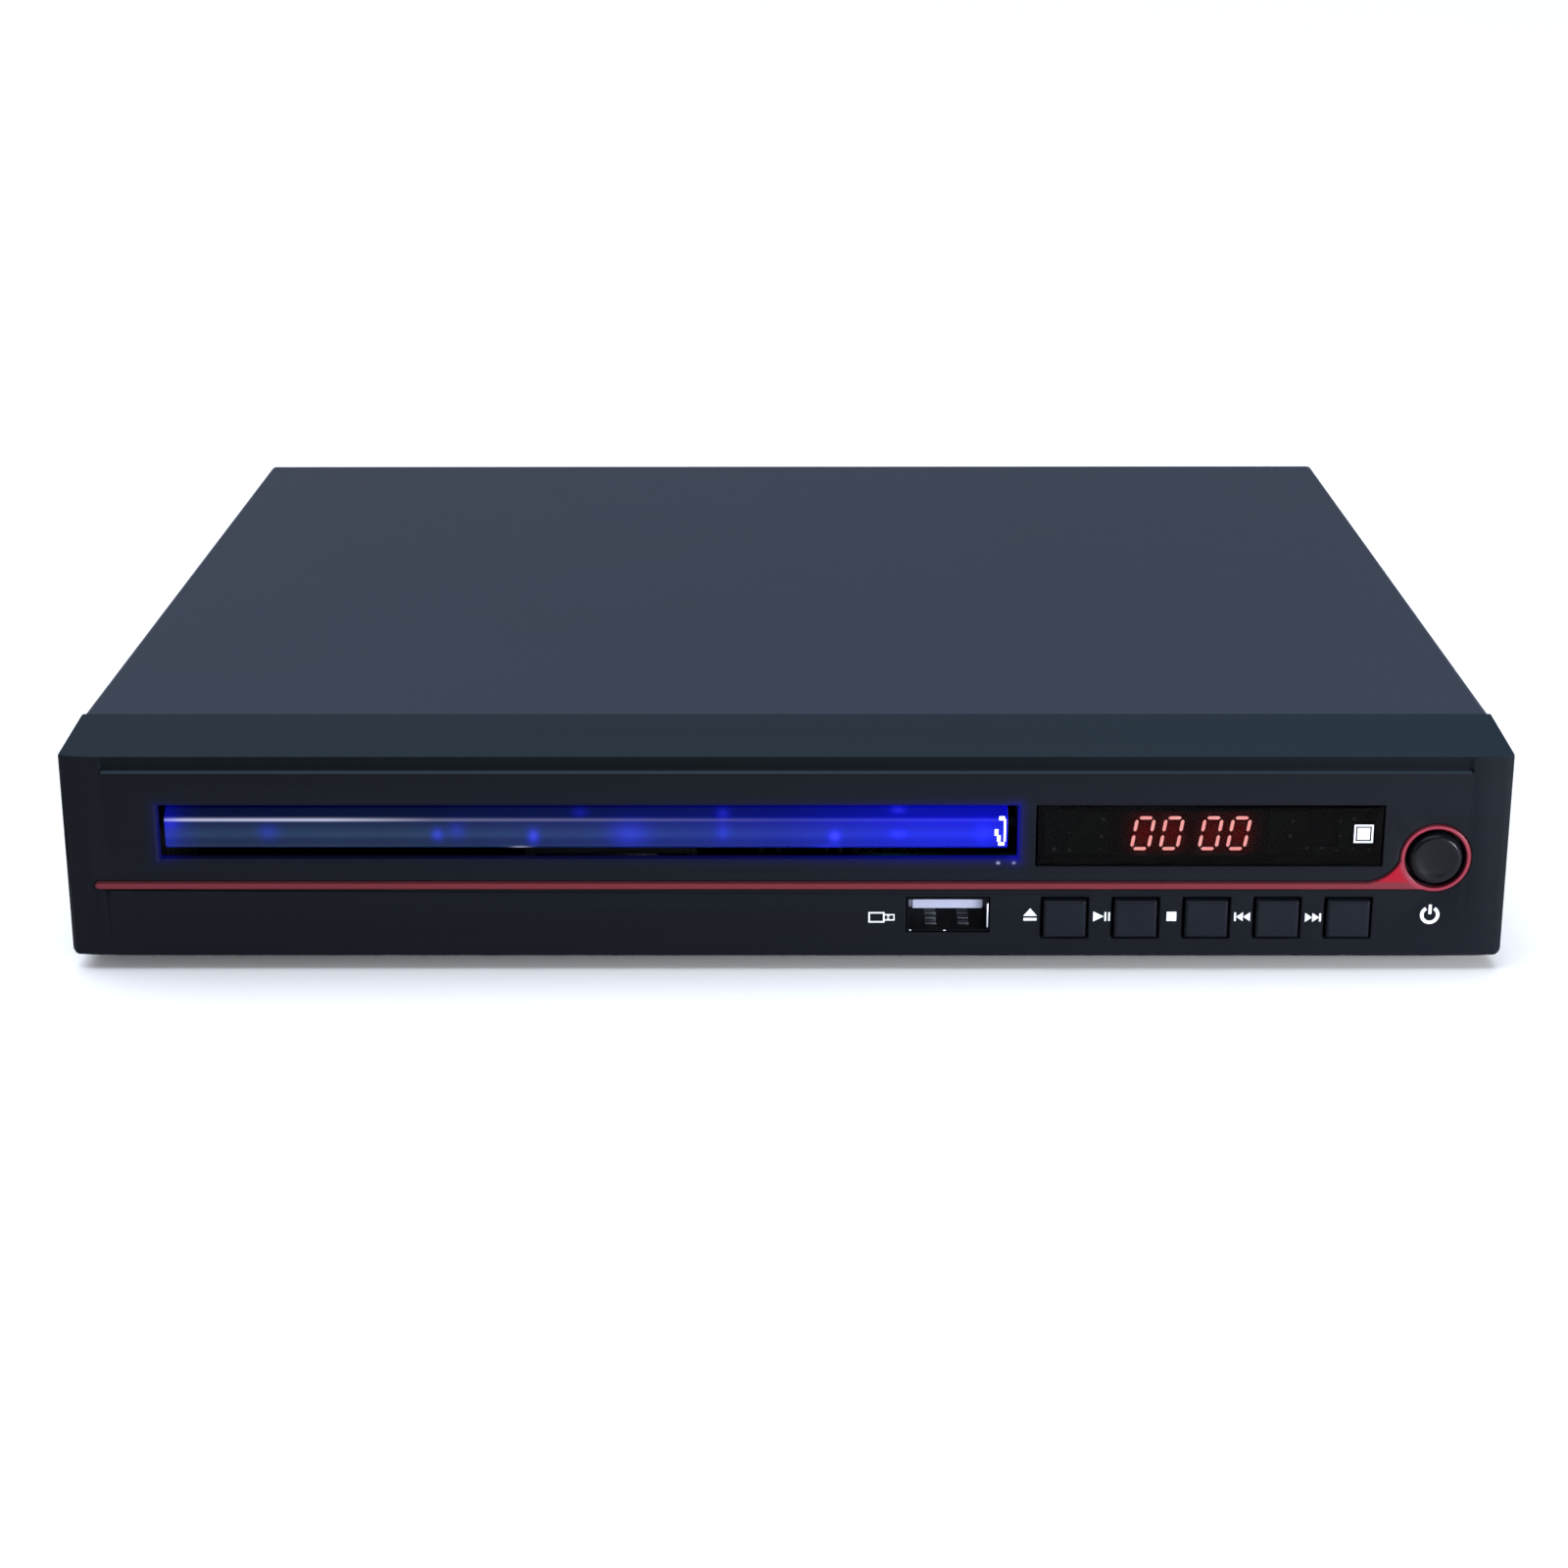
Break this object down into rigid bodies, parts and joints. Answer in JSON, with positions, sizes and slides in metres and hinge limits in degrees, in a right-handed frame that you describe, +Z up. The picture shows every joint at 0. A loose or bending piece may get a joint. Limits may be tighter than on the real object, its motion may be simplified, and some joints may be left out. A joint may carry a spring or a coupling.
{
  "type": "disc player",
  "caption": "Compact disc player: low steel case, wider moulded front with a motor-driven tray, keys, display window, round power button and a socket, sockets at the back.",
  "frame": {"origin": "under the middle of the whole object, on the surface it stands on", "axes": "+X to the right seen from the front, the front panel looks to -Y, +Z up"},
  "size_m": [0.23, 0.1986, 0.0405],
  "materials": {
    "cover_paint": "fine satin powder coat",
    "chassis_steel": "zinc plated sheet",
    "rear_paint": "satin",
    "panel_plastic": "polished",
    "window_acrylic": "polished smoked acrylic",
    "red_plastic": "polished",
    "plated_shell": "nickel plated",
    "tongue_plastic": "moulded",
    "circuit_board": "solder mask",
    "display_plastic": "red segments",
    "switch_plastic": "moulded",
    "receiver_plastic": "dark resin",
    "led_resin": "clear blue resin",
    "frame_plastic": "moulded",
    "bridge_steel": "zinc plated sheet",
    "motor_can": "plated can",
    "belt_rubber": "matt",
    "chip_plastic": "moulded",
    "sink_aluminium": "extruded",
    "capacitor_sleeve": "shrunk sleeve",
    "connector_plastic": "moulded",
    "power_board_resin": "paper board",
    "transformer_tape": "taped",
    "power_can_sleeve": "shrunk sleeve",
    "inlet_plastic": "moulded",
    "jack_plastic": "moulded",
    "jack_plating": "nickel plated",
    "socket_plating": "nickel plated",
    "foot_rubber": "matt",
    "black_screw": "black zinc",
    "zinc_screw": "zinc plated",
    "ribbon_film": "laminated film",
    "wire_insulation": "extruded",
    "tray_plastic": "moulded",
    "door_acrylic": "clear polished acrylic",
    "gear_plastic": "acetal",
    "pulley_brass": "turned",
    "slider_plastic": "acetal",
    "traverse_plastic": "moulded",
    "damper_rubber": "soft",
    "deck_steel": "zinc plated sheet",
    "rod_steel": "ground",
    "turntable_plastic": "moulded",
    "pickup_casting": "die cast",
    "holder_plastic": "moulded",
    "lens_glass": "coated",
    "clamper_plastic": "moulded",
    "key_plastic": "polished"
  },
  "bodies": {
    "case": {"av_jack_block": "jack_plastic", "av_jack_shells": "jack_plating", "board_connectors": "connector_plastic", "board_screws": "zinc_screw", "bottom_chassis": "chassis_steel", "clamp_bridge": "bridge_steel", "cover_screws": "black_screw", "display_window": "window_acrylic", "door_led": "led_resin", "drive_belt": "belt_rubber", "feet": "foot_rubber", "front_board": "circuit_board", "front_panel": "panel_plastic", "front_ribbon": "ribbon_film", "hdmi_socket": "socket_plating", "heat_sink": "sink_aluminium", "ir_receiver": "receiver_plastic", "led_display": "display_plastic", "loader_frame": "frame_plastic", "loader_screws": "zinc_screw", "loading_motor": "motor_can", "main_board": "circuit_board", "main_capacitors": "capacitor_sleeve", "main_chips": "chip_plastic", "mains_inlet": "inlet_plastic", "power_board": "power_board_resin", "power_capacitors": "power_can_sleeve", "power_wires": "wire_insulation", "rear_panel": "rear_paint", "red_trim": "red_plastic", "tact_switches": "switch_plastic", "top_cover": "cover_paint", "transformer": "transformer_tape", "usb_shell": "plated_shell", "usb_tongue": "tongue_plastic"},
    "tray": {"disc_tray": "tray_plastic", "tray_door": "door_acrylic"},
    "drive_gear": {"drive_gear": "gear_plastic"},
    "pulley_gear": {"pulley_gear": "gear_plastic"},
    "motor_pulley": {"motor_pulley": "pulley_brass"},
    "cam_slider": {"cam_slider": "slider_plastic"},
    "traverse": {"traverse_frame": "traverse_plastic", "deck_dampers": "damper_rubber", "deck_plate": "deck_steel", "guide_rods": "rod_steel", "spindle_motor": "motor_can", "feed_motor": "motor_can"},
    "turntable": {"turntable": "turntable_plastic"},
    "pickup": {"pickup_body": "pickup_casting"},
    "lens_unit": {"lens_holder": "holder_plastic", "lens": "lens_glass"},
    "feed_gear": {"feed_gear": "gear_plastic"},
    "feed_pinion": {"feed_pinion": "pulley_brass"},
    "clamper": {"clamper": "clamper_plastic"},
    "power_button": {"power_button": "key_plastic"},
    "eject_key": {"eject_key": "key_plastic"},
    "play_key": {"play_key": "key_plastic"},
    "stop_key": {"stop_key": "key_plastic"},
    "previous_key": {"previous_key": "key_plastic"},
    "next_key": {"next_key": "key_plastic"}
  },
  "joints": [
    {"name": "tray_slide", "type": "slide", "parent": "case", "child": "tray", "axis": [0, -1, 0], "range_m": [0, 0.132]},
    {"name": "drive_gear_spin", "type": "hinge", "parent": "case", "child": "drive_gear", "pos_m": [0.015, -0.06925, 0.0128], "axis": [0, 0, 1], "range_deg": [-1082, 1]},
    {"name": "pulley_gear_spin", "type": "hinge", "parent": "case", "child": "pulley_gear", "pos_m": [-0.00279, -0.07395, 0.0126], "axis": [0, 0, 1], "range_deg": [-1, 3891]},
    {"name": "loading_motor_spin", "type": "hinge", "parent": "case", "child": "motor_pulley", "pos_m": [-0.029, -0.07125, 0.012], "axis": [0, 0, 1], "range_deg": [-1, 10484]},
    {"name": "cam_slide", "type": "slide", "parent": "case", "child": "cam_slider", "axis": [1, 0, 0], "range_m": [0, 0.018]},
    {"name": "traverse_tilt", "type": "hinge", "parent": "case", "child": "traverse", "pos_m": [-0.0315, 0.06375, 0.0145], "axis": [-1, 0, 0], "range_deg": [0, 4]},
    {"name": "turntable_spin", "type": "hinge", "parent": "traverse", "child": "turntable", "pos_m": [-0.0315, -0.02638, 0.01321], "axis": [0, -0.0698, 0.9976], "continuous": true},
    {"name": "pickup_slide", "type": "slide", "parent": "traverse", "child": "pickup", "axis": [0, 0.9976, 0.0698], "range_m": [0, 0.034]},
    {"name": "lens_focus", "type": "slide", "parent": "pickup", "child": "lens_unit", "axis": [0, -0.0698, 0.9976], "range_m": [-0.0006, 0.0006], "stiffness_N_per_m": 60},
    {"name": "feed_gear_spin", "type": "hinge", "parent": "traverse", "child": "feed_gear", "pos_m": [0.0021, 0.02051, 0.01649], "axis": [0, -0.0698, 0.9976], "range_deg": [-543, 1]},
    {"name": "feed_motor_spin", "type": "hinge", "parent": "traverse", "child": "feed_pinion", "pos_m": [0.0021, 0.02899, 0.01708], "axis": [0, -0.0698, 0.9976], "range_deg": [-1, 1300]},
    {"name": "clamper_spin", "type": "hinge", "parent": "case", "child": "clamper", "pos_m": [-0.0315, -0.02625, 0.03], "axis": [0, 0, 1], "continuous": true},
    {"name": "eject_press", "type": "slide", "parent": "case", "child": "eject_key", "axis": [0, 1, 0], "range_m": [0, 0.0005], "stiffness_N_per_m": 1500, "springref_m": -0.0002},
    {"name": "play_press", "type": "slide", "parent": "case", "child": "play_key", "axis": [0, 1, 0], "range_m": [0, 0.0005], "stiffness_N_per_m": 1500, "springref_m": -0.0002},
    {"name": "stop_press", "type": "slide", "parent": "case", "child": "stop_key", "axis": [0, 1, 0], "range_m": [0, 0.0005], "stiffness_N_per_m": 1500, "springref_m": -0.0002},
    {"name": "previous_press", "type": "slide", "parent": "case", "child": "previous_key", "axis": [0, 1, 0], "range_m": [0, 0.0005], "stiffness_N_per_m": 1500, "springref_m": -0.0002},
    {"name": "next_press", "type": "slide", "parent": "case", "child": "next_key", "axis": [0, 1, 0], "range_m": [0, 0.0005], "stiffness_N_per_m": 1500, "springref_m": -0.0002},
    {"name": "power_press", "type": "slide", "parent": "case", "child": "power_button", "axis": [0, 1, 0], "range_m": [0, 0.0005], "stiffness_N_per_m": 1500, "springref_m": -0.0002}
  ],
  "couplings": [
    {"joint": "drive_gear_spin", "follows": "tray_slide", "rad_per_m": -142.86},
    {"joint": "pulley_gear_spin", "follows": "tray_slide", "rad_per_m": 514.29},
    {"joint": "loading_motor_spin", "follows": "tray_slide", "rad_per_m": 1386},
    {"joint": "traverse_tilt", "follows": "cam_slide", "rad_per_m": 3.8785},
    {"joint": "feed_gear_spin", "follows": "pickup_slide", "rad_per_m": -277.78},
    {"joint": "feed_motor_spin", "follows": "pickup_slide", "rad_per_m": 666.67}
  ]
}
